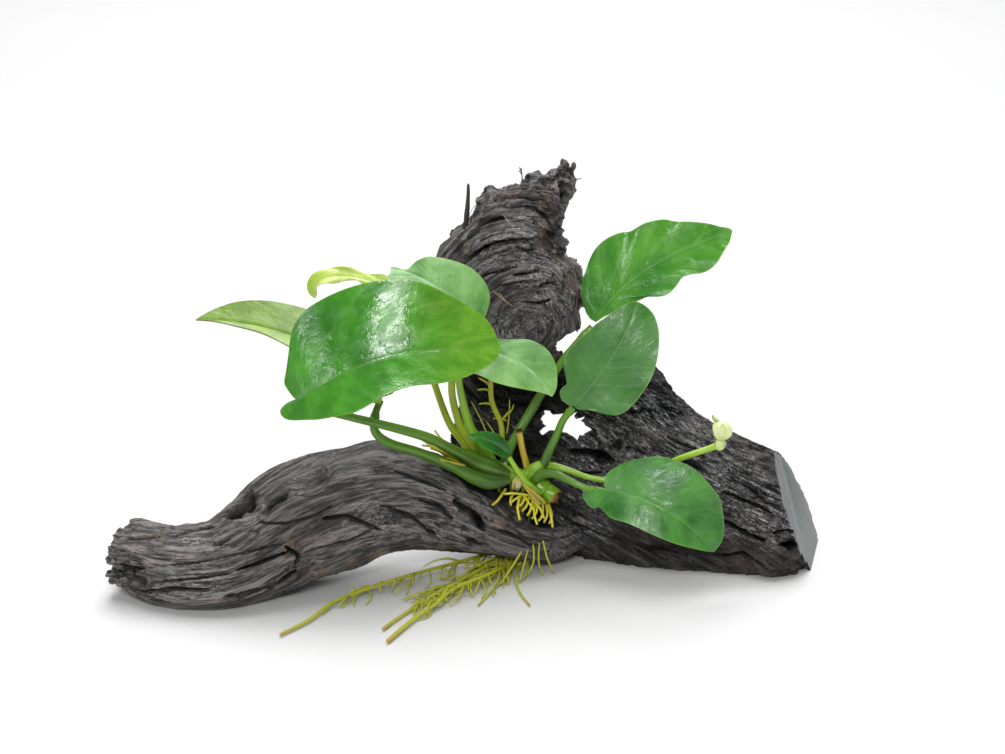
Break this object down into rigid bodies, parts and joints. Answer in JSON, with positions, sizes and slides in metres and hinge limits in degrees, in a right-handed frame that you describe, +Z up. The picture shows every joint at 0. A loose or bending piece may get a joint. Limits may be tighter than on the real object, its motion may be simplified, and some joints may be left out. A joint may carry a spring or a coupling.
{
  "type": "anubias on driftwood",
  "caption": "Small broad-leaved aquarium plant with a creeping stem and free roots, grown onto a dark three-armed piece of root wood with one sawn end.",
  "frame": {"origin": "on the ground under the middle of the object's outline", "axes": "+X to the right along the wood, towards the sawn end; +Y away from the side the leaves face; +Z up"},
  "size_m": [0.2426, 0.1088, 0.1348],
  "materials": {
    "root_wood": "waterlogged dark root wood, matte with wet glints along the grain",
    "rhizome_green": "smooth moist green stem with a brown cut end",
    "leaf_green": "leathery leaf, glossy above, faint side veins",
    "old_leaf": "thin old leaf, olive with a brown margin",
    "young_leaf": "soft young leaf, pale yellow-green",
    "stalk_green": "smooth green leaf stalk",
    "dry_stalk": "dying stub of a leaf stalk, ochre with a brown tip",
    "root_skin": "smooth yellow-green root with a tan tip"
  },
  "bodies": {
    "root": {"wood_left_arm": "root_wood", "wood_right_arm": "root_wood", "wood_upper_arm": "root_wood", "rhizome": "rhizome_green", "leaf_01_blade": "leaf_green", "leaf_02_blade": "leaf_green", "leaf_03_blade": "leaf_green", "leaf_04_blade": "leaf_green", "leaf_05_blade": "leaf_green", "leaf_06_blade": "leaf_green", "leaf_07_blade": "young_leaf", "leaf_08_blade": "old_leaf", "young_leaf_blade": "leaf_green", "leaf_01_stalk": "stalk_green", "leaf_02_stalk": "stalk_green", "leaf_03_stalk": "stalk_green", "leaf_04_stalk": "stalk_green", "leaf_05_stalk": "stalk_green", "leaf_06_stalk": "stalk_green", "leaf_07_stalk": "stalk_green", "leaf_08_stalk": "stalk_green", "young_leaf_stalk": "stalk_green", "furled_leaf_stalk": "stalk_green", "furled_leaf": "young_leaf", "cut_stalk": "dry_stalk", "root_01": "root_skin", "root_02": "root_skin", "root_03": "root_skin", "root_04": "root_skin", "root_05": "root_skin", "root_06": "root_skin", "root_07": "root_skin", "root_08": "root_skin", "root_09": "root_skin", "root_10": "root_skin", "root_11": "root_skin", "air_root": "root_skin"}
  },
  "joints": []
}
